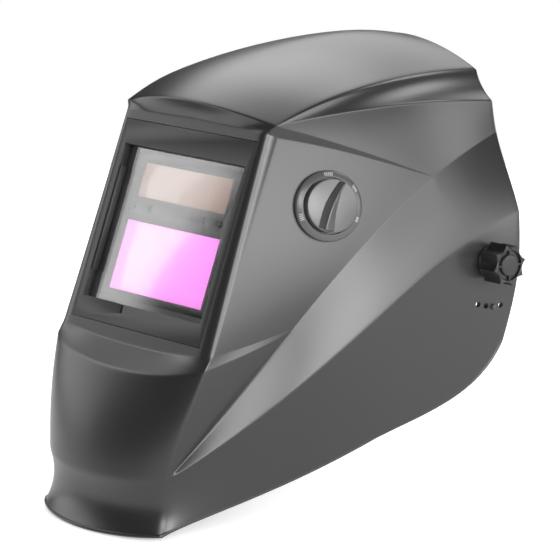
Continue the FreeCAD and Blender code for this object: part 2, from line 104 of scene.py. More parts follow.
# %% Floor and surround
world = bpy.data.worlds.new("surround")
world.use_nodes = True
surround = world.node_tree
seen, unseen = surround.nodes["Background"], surround.nodes.new("ShaderNodeBackground")
seen.inputs["Color"].default_value, unseen.inputs["Color"].default_value = (1, 1, 1, 1), (1, 1, 1, 1)
unseen.inputs["Strength"].default_value = 0.03
path, mixed = surround.nodes.new("ShaderNodeLightPath"), surround.nodes.new("ShaderNodeMixShader")
surround.links.new(path.outputs["Is Camera Ray"], mixed.inputs[0])
surround.links.new(unseen.outputs[0], mixed.inputs[1])
surround.links.new(seen.outputs[0], mixed.inputs[2])
surround.links.new(mixed.outputs[0], surround.nodes["World Output"].inputs["Surface"])
bpy.context.scene.world = world
bpy.context.scene.view_settings.view_transform = "Standard"

paper = bpy.data.materials.new("white_paper")
paper.use_nodes = True
sheen = paper.node_tree.nodes["Principled BSDF"]
sheen.inputs["Base Color"].default_value = (0.9, 0.9, 0.9, 1)
sheen.inputs["Roughness"].default_value = 0.9
sheen.inputs["Emission Color"].default_value = (1, 1, 1, 1)
sheen.inputs["Emission Strength"].default_value = 0.4
floor_mesh = bpy.data.meshes.new("floor")
floor_radius, floor_sides, floor_z = 1.3, 96, cad_box[0][2] - 0.001
edge = [2 * math.pi * k / floor_sides for k in range(floor_sides)]
floor_mesh.from_pydata([(floor_radius * math.cos(a), floor_radius * math.sin(a), floor_z) for a in edge], [],
                       [tuple(range(floor_sides))])
floor_mesh.materials.append(paper)
floor = bpy.data.objects.new("floor", floor_mesh)
bpy.context.scene.collection.objects.link(floor)
print("floor at z", round(floor_z, 4))

# %% [markdown]
# ## Shader sums in plain Python
# A finish is a small sum: a base tone, plus a little cloudiness, plus grain. Writing the sum
# with + and * keeps it readable, so a socket is wrapped in a class that makes the Math nodes.


# %% A socket that can be added and multiplied
class Wire:
    def __init__(self, tree, socket):
        self.tree, self.socket = tree, socket

    def make(self, kind, inputs, out=0, **settings):
        """Any other node, fed by values or wires; returns one of its outputs."""
        node = self.tree.nodes.new(kind)
        for key, value in settings.items():
            setattr(node, key, value)
        for key, value in inputs.items():
            if isinstance(value, Wire):
                self.tree.links.new(value.socket, node.inputs[key])
            else:
                node.inputs[key].default_value = value
        return Wire(self.tree, node.outputs[out])

    def maths(self, operation, *others):
        return self.make("ShaderNodeMath", dict(enumerate((self, *others))), operation=operation)

    def __add__(self, other):
        return self.maths("ADD", other)

    def __mul__(self, other):
        return self.maths("MULTIPLY", other)

    def __sub__(self, other):
        return self.maths("SUBTRACT", other)

    def __rsub__(self, other):
        return (self * -1.0) + other

    __radd__, __rmul__ = __add__, __mul__

    def into(self, node, name):
        self.tree.links.new(self.socket, node.inputs[name])


# %% Steps that most finishes share
def new_finish(name, rough, **fixed):
    """A material with its Principled shader, and a wire carrying the piece's own coordinates."""
    finish = bpy.data.materials.new(name)
    finish.use_nodes = True
    tree = finish.node_tree
    shader = tree.nodes["Principled BSDF"]
    shader.inputs["Roughness"].default_value = rough
    for key, value in fixed.items():
        shader.inputs[key.replace("_", " ").title().replace("Ior", "IOR")].default_value = value
    place = tree.nodes.new("ShaderNodeTexCoord")
    return finish, shader, Wire(tree, place.outputs["Object"])


def noise(place, scale, detail=2.0):
    return place.make("ShaderNodeTexNoise", {"Vector": place, "Scale": scale, "Detail": detail})


def blend_tone(factor, low, high):
    """A colour between two others."""
    return factor.make("ShaderNodeMix", {0: factor, 6: (*low, 1), 7: (*high, 1)}, out=2, data_type="RGBA")


def bump(height, depth, shader):
    """Press a height, 0 to 1, into the surface; depth is in metres."""
    bumped = height.make("ShaderNodeBump", {"Height": height, "Distance": depth, "Strength": 1.0})
    bumped.into(shader, "Normal")


# %% [markdown]
# ## Moulded plastics
# Most of the helmet is injection-moulded nylon. The mould is lightly spark-eroded, so the skin
# has a grain of a fraction of a millimetre that turns a mirror into a satin sheen. The colour
# and the sheen drift slightly over a large moulding. One recipe makes every black plastic,
# with the grain coarser or finer.


# %% Moulded plastic
def moulded(name, tone, rough, grain=1500.0, depth=0.000012, drift=0.10):
    finish, shader, place = new_finish(name, rough)
    cloud, fine = noise(place, 14.0, 3.0), noise(place, grain, 2.0)
    darker, lighter = ([c * share for c in tone] for share in (1 - drift, 1 + drift))
    blend_tone(cloud, darker, lighter).into(shader, "Base Color")
    (cloud * 0.06 + fine * 0.05 + (rough - 0.055)).into(shader, "Roughness")
    bump(fine, depth, shader)
    return finish


shell_satin = moulded("shell_satin", (0.014, 0.0135, 0.0145), 0.31)
frame_satin = moulded("frame_satin", (0.009, 0.009, 0.0095), 0.48)
dial_satin = moulded("dial_satin", (0.050, 0.049, 0.051), 0.30, 1900.0, 0.000008)
knob_black = moulded("knob_black", (0.005, 0.005, 0.005), 0.42, 1200.0, 0.000015)
band_plastic = moulded("band_plastic", (0.022, 0.022, 0.023), 0.45, 900.0, 0.00002)
case_plastic = moulded("case_plastic", (0.016, 0.016, 0.017), 0.40)
print("plastics made")

# %% [markdown]
# ## Glass, filters and metal
# The clear cover is thin polycarbonate: nearly all light passes, and the rest mirrors the room.
# Mixing a see-through shader with a glossy one keeps the filter behind it bright, where real
# refraction would leave it dark and noisy. The dark filter is a coated stack that throws back
# a magenta light; that magenta reflection is painted on as a pink glow (emission) of its own.
# The solar cell is brown glass over fine conductor lines, also with a faint painted glow.


# %% Clear cover
def clear_sheet(name, haze):
    finish, shader, place = new_finish(name, 0.07)
    tree = finish.node_tree
    shader.inputs["Base Color"].default_value = (0.9, 0.9, 0.9, 1)
    shader.inputs["Metallic"].default_value = 1.0
    smear = noise(place, 35.0, 4.0)
    (smear * 0.05 + 0.045).into(shader, "Roughness")
    glance = place.make("ShaderNodeLayerWeight", {"Blend": 0.5}, out="Facing").maths("POWER", 5.0)
    clear = tree.nodes.new("ShaderNodeBsdfTransparent")
    mixed = tree.nodes.new("ShaderNodeMixShader")
    (glance * 0.9 + smear * haze + 0.07).into(mixed, 0)
    tree.links.new(clear.outputs[0], mixed.inputs[1])
    tree.links.new(shader.outputs[0], mixed.inputs[2])
    tree.links.new(mixed.outputs[0], tree.nodes["Material Output"].inputs["Surface"])
    return finish


clear_cover = clear_sheet("clear_cover", 0.03)


# %% Filter and cell
def dark_filter(name):
    # The emission is a painted glow: the filter's magenta reflection is painted into it as pink light of its
    # own.
    finish, shader, place = new_finish(name, 0.16, coat_weight=0.4, coat_roughness=0.05,
                                       emission_strength=0.62)
    cloud = noise(place, 9.0, 2.0)
    blend_tone(cloud, (0.86, 0.27, 0.78), (0.93, 0.36, 0.88)).into(shader, "Base Color")
    blend_tone(cloud, (0.86, 0.24, 0.76), (0.90, 0.30, 0.84)).into(shader, "Emission Color")
    (cloud * 0.06 + 0.12).into(shader, "Roughness")
    return finish


def solar_glass(name):
    finish, shader, place = new_finish(name, 0.18, coat_weight=0.3, coat_roughness=0.06,
                                       emission_strength=0.4)
    across = place.make("ShaderNodeSeparateXYZ", {0: place})
    lines = ((across * 138.0).maths("FRACT") - 0.5).maths("ABSOLUTE").maths("GREATER_THAN", 0.475)
    cloud = noise(place, 60.0, 3.0)
    tone = blend_tone(cloud * 0.4 + lines * 0.35, (0.30, 0.20, 0.165), (0.20, 0.13, 0.11))
    tone.into(shader, "Base Color")
    # The brown tone is also the emission colour: a faint painted glow, as the cell is no lamp.
    tone.into(shader, "Emission Color")
    (cloud * 0.08 + 0.14).into(shader, "Roughness")
    return finish


pink_filter_painted_glow = dark_filter("pink_filter_painted_glow")
brown_cell_painted_glow = solar_glass("brown_cell_painted_glow")


def sensor_face(name):
    finish, shader, place = new_finish(name, 0.08, coat_weight=1.0, coat_roughness=0.03)
    blend_tone(noise(place, 700.0), (0.006, 0.004, 0.006), (0.02, 0.012, 0.018)).into(shader, "Base Color")
    return finish


def plated_steel(name):
    finish, shader, place = new_finish(name, 0.32, metallic=1.0)
    drawn = place.make("ShaderNodeVectorMath", {0: place, 1: (40.0, 900.0, 900.0)}, operation="MULTIPLY")
    streak = noise(drawn, 1.0, 3.0)
    blend_tone(streak, (0.42, 0.42, 0.43), (0.60, 0.60, 0.58)).into(shader, "Base Color")
    (streak * 0.18 + 0.24).into(shader, "Roughness")
    bump(streak, 0.000006, shader)
    return finish


sensor_black, steel = sensor_face("sensor_black"), plated_steel("zinc_plated_steel")


# %% Cable jacket and pale paint
def jacket(name):
    finish, shader, place = new_finish(name, 0.6)
    fine = noise(place, 2200.0, 2.0)
    blend_tone(fine, (0.012, 0.012, 0.012), (0.022, 0.022, 0.022)).into(shader, "Base Color")
    bump(fine, 0.00002, shader)
    return finish


def printed(name):
    finish, shader, place = new_finish(name, 0.5)
    worn = noise(place, 2500.0, 3.0)
    blend_tone(worn, (0.20, 0.20, 0.20), (0.34, 0.34, 0.33)).into(shader, "Base Color")
    (worn * 0.2 + 0.4).into(shader, "Roughness")
    return finish


cable_black, pale_print = jacket("cable_jacket"), printed("pale_print")
print("glass, metal and small finishes made")

# %% [markdown]
# ## The shell's surface
# The shell is one moulding made of broad, gently curved fields that meet along crisp creases.
# Pushing a cube about would never hold those lines, so the surface is drawn the way a mould
# maker draws it: named corner points, cubic curves between them, and a patch stretched inside
# every loop of four curves. A loop of three uses a point for its fourth side. Only the
# wearer's left half is drawn. Values are millimetres from the middle of the pivot axis.


# %% Corner points and creases
def lens_point(across, down, out):
    """A point by its place on the window: across, down from the dark pane's top, out of its face."""
    tilt = math.radians(20)
    return np.array((across, -146.5 - down * math.sin(tilt) - out * math.cos(tilt),
                     19 - down * math.cos(tilt) + out * math.sin(tilt)))


corners = dict(
    K0=(0, -139.5, 95), K1=(73, -127.5, 86), KU=(71, -125, 79), Z0=(0, 25.5, 122.5),
    A1=(68, 26, 107), B1=(89.5, 20, 91), D0=(91, 22.5, 71.9), E0=(111, 23.5, 27),
    J1=(58.7, -196, -114), J0=(0, -210.5, -118), G1=(74, -173.5, -41.5),
    H1=(73.8, -179.5, -50), H0=(0, -193.5, -57), C1=(59, -200, -146), C0=(0, -217.5, -148.5),
    R1=(110.5, 12, -49.5), R2=(93.5, -70, -99.5), T0=lens_point(0, -65.5, 8),
    T1=lens_point(64.5, -64, 8), S0=lens_point(0, 72, 8), S1=lens_point(65, 68, 8))
corners = {name: np.array(p, float) for name, p in corners.items()}
curves = {}


def curve(name, start, end, *handles):
    """Keep a cubic between two corners; without handles it is a straight line."""
    a, b = (corners[k] if isinstance(k, str) else k for k in (start, end))
    handles = handles or (a + (b - a) / 3, a + (b - a) * 2 / 3)
    curves[name] = np.array([a, *handles, b], float)
    return curves[name]


def split_curve(c, t):
    ab, bc, cd = (c[i] + (c[i + 1] - c[i]) * t for i in range(3))
    abc, bcd = ab + (bc - ab) * t, bc + (cd - bc) * t
    mid = abc + (bcd - abc) * t
    return np.array([c[0], ab, abc, mid]), np.array([mid, bcd, cd, c[3]])


def turned(c, start):
    """The curve, turned if needed to begin at start, and whether it was turned."""
    flip = np.linalg.norm(c[0] - start) > np.linalg.norm(c[3] - start)
    return (c[::-1] if flip else c), flip


def loop_net(a, b, c, d):
    """The 4 x 4 poles stretched inside a loop of curves; also which curves had to be turned."""
    gaps = [np.linalg.norm(p - q) for p in (a[0], a[3]) for q in (b[0], b[3])]
    flip_a = min(gaps[2:]) > min(gaps[:2])
    a = a[::-1] if flip_a else a
    (b, flip_b), (d, flip_d) = turned(b, a[3]), turned(d, a[0])
    c, flip_c = turned(c, d[3])
    u, v = np.meshgrid(np.arange(4) / 3, np.arange(4) / 3, indexing="ij")
    u, v = u[..., None], v[..., None]
    net = (a[:, None] * (1 - v) + c[:, None] * v + d[None] * (1 - u) + b[None] * u
           - (a[0] * (1 - u) + a[3] * u) * (1 - v) - (c[0] * (1 - u) + c[3] * u) * v)
    return net, (flip_a, flip_b, flip_c, flip_d)


def split_net(net, t):
    halves = [split_curve(net[:, j], t) for j in range(4)]
    return [np.stack([h[k] for h in halves], axis=1) for k in (0, 1)]


# %% Every curve of the left half
curve("brow", "K0", "K1", (27, -139.5, 95), (50, -135, 91.5))
curve("ridge", "K0", "Z0", (0, -101.5, 124.5), (0, -0.6, 134.4))
curve("dome_side", "K1", "A1", (83.3, -96.9, 107.5), (79.1, -11.8, 112.5))
curve("cove_side", "K1", "B1", (86.4, -82, 93.9), (95.5, -29, 97.4))
curve("blade_top", "D0", "J1", (112.5, -93, 41), (74.4, -129, -51.9))
curve("blade_foot", "E0", "J1", (116.4, -61.9, 5.5), (104.3, -106.2, -57.5))
curve("rear_dome", "Z0", "A1", (25, 25.5, 122.5), (50, 26, 115))
curve("rear_cove", "A1", "B1", (72, 25.5, 98), (81.5, 22.5, 94))
curve("rear_upper", "B1", "D0", (90, 20.5, 84.5), (89.8, 21.7, 78))
curve("rear_blade", "D0", "E0", (97.5, 21, 58.5), (106.5, 22.5, 42))
curve("rim_rear", "E0", "R1", (115, 21.8, 0), (113.9, 22.1, -14))
curve("rim_turn", "R1", "R2", (106.5, -3, -81), (101.5, -38.5, -87))
curve("rim_low", "R2", "C1", (77, -131, -128), (60.5, -180, -138))
tip = np.array([corners["J1"]] * 4)
blade, _ = loop_net(curves["blade_top"], tip, curves["blade_foot"], curves["rear_blade"])
blade_a, blade_b = split_net(blade, 0.172)
blade_b, blade_c = split_net(blade_b, (0.599 - 0.172) / (1 - 0.172))
for key, net in zip("abc", (blade_a, blade_b, blade_c)):
    curves["top_" + key], curves["foot_" + key], curves["end_" + key] = net[:, 0], net[:, 3], net[3]
meet_c, meet_f = curves["top_b"][0], curves["top_c"][0]
curve("step_top", "K1", meet_c, (80.5, -97, 77.5), (92.5, -63, 64))
curve("step_foot", "KU", meet_c, (80, -95, 73.3), (91.5, -64, 62))
curve("jaw_top", "G1", meet_f, (76.3, -156.6, -38.9), (79, -139.8, -35.7))
curve("jaw_foot", "H1", meet_f, (77, -160.4, -44.8), (80.3, -141.5, -39.1))
for name, start, end in (("brow_end", "K1", "KU"), ("front_side", "KU", "G1"), ("fold", "G1", "H1"),
                         ("front_top", "T0", "T1"), ("front_mid", "T0", "S0"),
                         ("front_edge", "T1", "S1"), ("hollow_end", "K1", "T1"),
                         ("shelf_mid", "S0", "H0"), ("shelf_end", "S1", "H1")):
    curve(name, start, end)
low, high = lens_point(0, 72, 8), lens_point(0, 70.5, 8)
curve("front_foot", "S0", "S1", (30, low[1], low[2]), (50, high[1], high[2]))
curve("round_top", "T1", "KU", lens_point(68.5, -64, 8), lens_point(71, -64, 4.5))
curve("round_foot", "S1", "G1", lens_point(70, 68, 8), lens_point(73, 67, 6.5))
curve("hollow_mid", "K0", "T0", (0, -136, 91.5), (0, -133, 88.5))
curve("jaw_line", "H0", "H1", (30, -193.5, -57), (60, -189, -54.5))
curve("chin_line", "J0", "J1", (25, -210.5, -118), (46, -206, -116.5))
curve("hem_front", "C0", "C1", (25, -217.5, -148.5), (48, -210, -147))
curve("jaw_mid", "H0", "J0", (0, -201.5, -77), (0, -208.5, -98))
curve("jaw_end", "H1", "J1", (70.5, -187, -71), (64, -193, -93))
curve("chin_mid", "J0", "C0", (0, -206.5, -127), (0, -209.5, -141))
curve("chin_end", "J1", "C1", (56.5, -192, -125), (56, -195, -138))
curve("wall_a", curves["foot_b"][0], "R1", (113.5, -8, -8), (113, 4, -29))
curve("wall_b", curves["foot_c"][0], "R2", (97.5, -93, -62), (95.5, -81, -81))
print(len(curves), "curves")

# %% [markdown]
# ## From patches to a mesh
# Each patch becomes a small grid of faces, and the grids share their edges, so they merge
# into one skin. A real mould never has a knife edge: each crease carries a small radius.
# Two rows of faces close to a crease give it that radius once Subdivision Surface has
# smoothed the skin, and where no crease runs the rows are spread out, so the fields flow
# into each other. The inner skin is the same drawing moved inwards, and a lip joins the two.

# %% The loops and the radius of each crease
loops = [
    ("brow", "dome_side", "rear_dome", "ridge"), ("dome_side", "rear_cove", "cove_side", "K1"),
    ("cove_side", "rear_upper", "top_a", "step_top"), ("step_top", meet_c, "step_foot", "brow_end"),
    ("step_foot", "top_b", "jaw_top", "front_side"), ("foot_a", "wall_a", "rim_rear", "E0"),
    ("foot_b", "wall_b", "rim_turn", "wall_a"), ("foot_c", "chin_end", "rim_low", "wall_b"),
    ("jaw_top", meet_f, "jaw_foot", "fold"), ("jaw_foot", "top_c", "J1", "jaw_end"),
    ("jaw_line", "jaw_end", "chin_line", "jaw_mid"), ("chin_line", "chin_end", "hem_front", "chin_mid"),
    ("front_top", "front_edge", "front_foot", "front_mid"),
    ("round_top", "front_side", "round_foot", "front_edge"),
    ("brow", "hollow_end", "front_top", "hollow_mid"), ("hollow_end", "round_top", "KU", "brow_end"),
    ("front_foot", "shelf_end", "jaw_line", "shelf_mid"), ("shelf_end", "fold", "G1", "round_foot"),
    ("top_a", "end_a", "foot_a", "rear_blade"), ("top_b", "end_b", "foot_b", "end_a"),
    ("top_c", "J1", "foot_c", "end_b")]
blade_nets = {"top_a": blade_a, "top_b": blade_b, "top_c": blade_c}
radius = dict(brow=1.5, dome_side=5, cove_side=1.4, step_top=1.0, step_foot=1.2, brow_end=1.2, top_a=1.0,
              top_b=1.0, top_c=1.0, foot_a=2.0, foot_b=2.0, foot_c=1.5, jaw_top=1.0, jaw_foot=1.2,
              fold=1.2, front_top=1.0, round_top=1.0, front_foot=1.0, round_foot=1.0,
              jaw_line=2.5, chin_line=3.0)
rims = ["rear_dome", "rear_cove", "rear_upper", "rear_blade", "rim_rear", "rim_turn", "rim_low", "hem_front"]
radius.update({name: 0.8 for name in rims})
STEPS = 7


def side_of(key):
    """A loop's side as a curve: by name, or a bare point for a side that has closed up."""
    if isinstance(key, str) and key in curves:
        return curves[key]
    return np.array([corners[key] if isinstance(key, str) else key] * 4)


def name_of(key):
    return key if isinstance(key, str) and key in curves else None


tight = {}
for loop in loops:
    flips = loop_net(*map(side_of, loop))[1]
    names = [name_of(k) for k in loop]
    for k, (before, after) in enumerate(((3, 1), (0, 2), (3, 1), (0, 2))):
        if names[k]:
            ends = [radius.get(names[before], 0), radius.get(names[after], 0)]
            ends = ends[::-1] if flips[k] else ends
            old = tight.get(names[k], [0, 0])
            tight[names[k]] = [max(x, y) for x, y in zip(old, ends)]


def stations(name, flip):
    """Where a side is divided, from 0 to 1: close to its ends where a crease crosses there."""
    if name is None:
        return np.linspace(0, 1, STEPS + 1)
    c = curves[name]
    length = np.linalg.norm(np.diff(c, axis=0), axis=1).sum()
    first, last = (min(r / length, 0.12) for r in tight[name])
    inner = np.linspace(first, 1 - last, STEPS + 1 - (first > 0) - (last > 0))
    marks = np.concatenate([[0.0] * int(first > 0), inner, [1.0] * int(last > 0)])
    return 1 - marks[::-1] if flip else marks


def weights(t):
    return np.stack([(1 - t) ** 3, 3 * t * (1 - t) ** 2, 3 * t * t * (1 - t), t ** 3], axis=-1)


def patch_points(loop):
    net, flips = loop_net(*map(side_of, loop))
    net = blade_nets.get(loop[0] if loop[0] in blade_nets else None, net)
    a, b, c, d = (stations(name_of(k), f) for k, f in zip(loop, flips))
    u_mean, v_mean = (a + c) / 2, (b + d) / 2
    u = a[:, None] * (1 - v_mean) + c[:, None] * v_mean
    v = d[None] * (1 - u_mean[:, None]) + b[None] * u_mean[:, None]
    return np.einsum("iju,ijv,uvk->ijk", weights(u), weights(v), net)


def inset(p):
    """The inner skin's point for an outer one: a little inwards on each axis."""
    tilt = math.radians(20)
    lead = -(p[..., 1] + 146.5) * math.cos(tilt) + (p[..., 2] - 19) * math.sin(tilt)
    under_brow = 2.5 * np.clip((lead - 8) / 11, 0, 1) * (p[..., 2] > 70)
    return np.stack([p[..., 0] * (1 - 3.2 / 113), p[..., 1] + 3.2 * (35 - p[..., 1]) / 250 + under_brow,
                     p[..., 2] - 3.2 * (p[..., 2] + 60) / 190], axis=-1)


def rim_points(name):
    outer = np.einsum("iu,uk->ik", weights(stations(name, False)), curves[name])
    inner = inset(outer)
    return np.stack([outer + (inner - outer) * t for t in (0, 0.22, 0.78, 1)], axis=1)


# %% Build the skin
def grid_faces(grids):
    verts, faces = [], []
    for grid in grids:
        rows, cols, start = grid.shape[0], grid.shape[1], len(verts)
        verts += [tuple(p / 1000) for p in grid.reshape(-1, 3)]
        for i in range(rows - 1):
            for j in range(cols - 1):
                k = start + i * cols + j
                faces.append((k, k + 1, k + cols + 1, k + cols))
    return verts, faces


def build(name, verts, faces):
    """A mesh object from points and faces, merged, closed up and facing outwards."""
    mesh = bpy.data.meshes.new(name)
    mesh.from_pydata(verts, [], faces)
    work = bmesh.new()
    work.from_mesh(mesh)
    bmesh.ops.remove_doubles(work, verts=work.verts, dist=2e-5)
    bmesh.ops.dissolve_degenerate(work, dist=1e-6, edges=work.edges)
    bmesh.ops.recalc_face_normals(work, faces=work.faces)
    work.to_mesh(mesh)
    work.free()
    thing = bpy.data.objects.new(name, mesh)
    bpy.context.scene.collection.objects.link(thing)
    return thing


def baked(thing):
    """Turn a piece's modifiers into its plain mesh."""
    thing.data = bpy.data.meshes.new_from_object(thing.evaluated_get(bpy.context.evaluated_depsgraph_get()))
    thing.modifiers.clear()
    return thing


half = [patch_points(loop) for loop in loops]
half = half + [inset(grid) for grid in half] + [rim_points(name) for name in rims]
both = half + [grid * np.array((-1, 1, 1)) for grid in half]
shell = build("helmet_shell", *grid_faces(both))
smoother = shell.modifiers.new("smooth", "SUBSURF")
smoother.levels = smoother.render_levels = 2
baked(shell)
print("shell", len(shell.data.vertices), "points", len(shell.data.polygons), "faces")

# %% [markdown]
# ## Softboxes placed by reflection
# Satin plastic shows a blurred picture of whatever it mirrors. Lamps could be moved about
# until the fields look right, but it is quicker to ask the shell: follow the camera's sight
# to the middle of a field, mirror it there, and stand a panel where it goes. Each field then
# has a lamp of its own, and its power sets that field's tone.


# %% A lamp for each field
def softbox(name, place, towards, power, size=(1.0, 1.0), distance=2.4):
    """A soft panel at a distance from a place, facing it."""
    data = bpy.data.lights.new(name, "AREA")
    data.shape, data.size, data.size_y = "ELLIPSE" if size[0] == size[1] else "RECTANGLE", *size
    data.energy = power
    thing = bpy.data.objects.new(name, data)
    aim(thing, place + towards * distance, place)
    bpy.context.scene.collection.objects.link(thing)


def field_lamp(name, power, first, second, size=(1.0, 1.0)):
    """Light the field halfway between a point on one curve and a point on another."""
    ends = [split_curve(curves[key], t)[0][3] for key, t in (first, second)]
    look = (Vector((ends[0] + ends[1]) / 2000) - camera.location).normalized()
    _, place, normal, _ = shell.ray_cast(camera.location, look)
    softbox(name, place, look.reflect(normal), power, size)


field_lamp("lamp_blade_front", 34, ("blade_top", 0.8), ("blade_foot", 0.8))
field_lamp("lamp_blade_middle", 36, ("blade_top", 0.5), ("blade_foot", 0.5))
field_lamp("lamp_blade_rear", 26, ("blade_top", 0.24), ("blade_foot", 0.24), (1.3, 1.3))
field_lamp("lamp_side", 15, ("step_foot", 0.4), ("jaw_top", 0.4))
field_lamp("lamp_upper", 15, ("step_top", 0.9), ("rear_upper", 0.5))
field_lamp("lamp_cove", 18, ("dome_side", 0.6), ("cove_side", 0.6))
field_lamp("lamp_dome", 20, ("ridge", 0.5), ("dome_side", 0.5), (2.0, 2.0))
field_lamp("lamp_brow", 20, ("ridge", 0.15), ("dome_side", 0.15), (2.0, 2.0))
field_lamp("lamp_shelf", 3, ("front_foot", 0.6), ("jaw_line", 0.6))
window_side = Matrix.Rotation(math.radians(-68), 3, "Z") @ Vector((0, -1, 0.3)).normalized()
window_middle = Vector((0, -0.14, 0.02))
softbox("window_panel", window_middle, window_side, 14, size=(1.1, 1.6))
for thing in bpy.context.scene.objects:
    if thing.type == "LIGHT":
        x, y, z = thing.location
        print(thing.name, "turn %.0f" % (math.degrees(math.atan2(x, -y)) % 360),
              "lift %.0f" % math.degrees(math.atan2(z, math.hypot(x, y))), thing.data.energy, "W")

# %% [markdown]
# ## Frames, tools and a way to finish a piece
# Three slanted frames carry most of the parts: the window leans back 20 degrees, the headband
# tips up 12 degrees at the front, and the shade dial lies on its own facet of the shell. Each
# is a matrix, so a part is drawn flat and then stood in its place.

# %% The slanted frames
MM = Matrix.Scale(0.001, 4)


def stood(origin, x_axis, z_axis):
    """A frame from its origin, its z direction and a hint for x."""
    z = Vector(z_axis).normalized()
    x = (Vector(x_axis) - z * Vector(x_axis).dot(z)).normalized()
    turn = Matrix((x, z.cross(x), z)).transposed().to_4x4()
    return Matrix.Translation(Vector(origin) / 1000) @ turn @ MM


window_frame = Matrix.Translation((0, -0.1465, 0.019)) @ Matrix.Rotation(math.radians(-20), 4, "X") @ MM
band_frame = Matrix.Translation((0, 0, 0.012)) @ Matrix.Rotation(math.radians(-12), 4, "X") @ MM
dial_joint = next(j for j in frame["joints"] if j["name"] == "shade_dial_turn")
dial_frame = stood(Vector(dial_joint["pos_m"]) * 1000, (0, 1, 0), dial_joint["axis"])
pivot_frames = {"left": stood((0, 0, 0), (0, 1, 0), (1, 0, 0)),
                "right": Matrix.Scale(-1, 4, (1, 0, 0)) @ stood((0, 0, 0), (0, 1, 0), (1, 0, 0))}


# %% Simple tools: a lathe, a brick and a cut
def lathe(name, profile, place, sides=96, ring=False):
    """Spin (radius, height) points in millimetres about the z axis of a frame."""
    verts, faces, n = [], [], len(profile)
    for k in range(sides):
        a = 2 * math.pi * k / sides
        verts += [place @ Vector((r * math.cos(a), r * math.sin(a), z)) for r, z in profile]
    for k in range(sides):
        for i in range(n if ring else n - 1):
            j, m = (i + 1) % n, (k + 1) % sides
            faces.append((k * n + i, k * n + j, m * n + j, m * n + i))
    return build(name, verts, faces)


def brick(name, x, y, z, place):
    """A box between three pairs of millimetre limits in a frame."""
    verts = [place @ Vector((a, b, c)) for a in x for b in y for c in z]
    faces = [(0, 1, 3, 2), (4, 6, 7, 5), (0, 4, 5, 1), (2, 3, 7, 6), (0, 2, 6, 4), (1, 5, 7, 3)]
    return build(name, verts, faces)


def carve(thing, tools):
    """Cut tools out of a piece, then throw the tools away."""
    for tool in tools:
        cut = thing.modifiers.new("cut", "BOOLEAN")
        cut.operation, cut.solver, cut.object = "DIFFERENCE", "EXACT", tool
    baked(thing)
    for tool in tools:
        bpy.data.objects.remove(tool)
    return thing


def joined(name, *things):
    """Put several loose pieces into one mesh."""
    work = bmesh.new()
    for thing in things:
        work.from_mesh(thing.data)
        bpy.data.objects.remove(thing)
    mesh = bpy.data.meshes.new(name)
    work.to_mesh(mesh)
    work.free()
    whole = bpy.data.objects.new(name, mesh)
    bpy.context.scene.collection.objects.link(whole)
    return whole


def rounded(thing, width, segments=2, angle=30):
    """Round a piece's edges by a width in millimetres."""
    edge = thing.modifiers.new("edge", "BEVEL")
    edge.width, edge.segments, edge.angle_limit = width / 1000, segments, math.radians(angle)
    edge.limit_method, edge.harden_normals = "ANGLE", False
    return baked(thing)


# %% Finishing a piece
def fit(thing, body, slot, finish, *nodes, sharp=35):
    """Give a piece its finish and smooth shading, and hang it on a moving body."""
    mesh = thing.data
    mesh.materials.clear()
    mesh.materials.append(finish)
    mesh.polygons.foreach_set("material_index", [0] * len(mesh.polygons))
    mesh.polygons.foreach_set("use_smooth", [True] * len(mesh.polygons))
    mesh.set_sharp_from_angle(angle=math.radians(sharp))
    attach(thing, body)
    if nodes:
        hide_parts(*nodes)
    print("%-22s %6d faces on %s" % (thing.name, len(mesh.polygons), body))
    return thing


def whole_copy(name, node):
    """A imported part's mesh, merged and with its flat faces joined, as a new piece."""
    mesh = frame["nodes"][node].data.copy()
    work = bmesh.new()
    work.from_mesh(mesh)
    bmesh.ops.remove_doubles(work, verts=work.verts, dist=1e-6)
    bmesh.ops.dissolve_limit(work, angle_limit=math.radians(0.6), verts=work.verts, edges=work.edges)
    bmesh.ops.recalc_face_normals(work, faces=work.faces)
    work.to_mesh(mesh)
    work.free()
    for layer in list(mesh.attributes):
        if layer.name in ("custom_normal", "sharp_face", "sharp_edge"):
            mesh.attributes.remove(layer)
    thing = bpy.data.objects.new(name, mesh)
    bpy.context.scene.collection.objects.link(thing)
    return thing


def refine(name, node, width, body, slot, finish, segments=2):
    """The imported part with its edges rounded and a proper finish."""
    thing = whole_copy(name, node)
    if width:
        rounded(thing, width, segments)
    return fit(thing, body, slot, finish, node)


# %% [markdown]
# ## Cut the shell and fit it
# The window opening, the two pivot holes, the four tilt-stop holes a side and the dial's hole
# are drilled through both skins. A fine rolled bead runs along the rim, as on the real
# moulding, where it stiffens the edge and saves the wearer's collar.

# %% Openings
tools = [brick("window_tool", (-64.3, 64.3), (-12, 12), (-63.6, 58.8), window_frame)]
for side, place in pivot_frames.items():
    tools.append(lathe("pivot_tool", [(0, 96), (6.1, 96), (6.1, 125), (0, 125)], place, 48))
    for y, z in ((-8, -25), (-2, -26.5), (3.3, -27.6), (9, -27.2)):
        spot = place @ Matrix.Translation((y, z, 0))
        tools.append(lathe("stop_tool", [(0, 96), (1.75, 96), (1.75, 125), (0, 125)], spot, 24))
tools.append(lathe("dial_tool", [(0, -10), (5.2, -10), (5.2, 10), (0, 10)], dial_frame, 48))
carve(shell, tools)
fit(shell, "helmet", "shell_plastic", shell_satin, "shell", sharp=32)

# %% [markdown]
# ## The rim bead
# A bead that follows a curved edge is a short profile swept along a path. Geometry Nodes does
# that: the rim's curve goes in as points, a small circle is the profile, and the result is
# turned back into a plain mesh, so that it exports like any other piece.


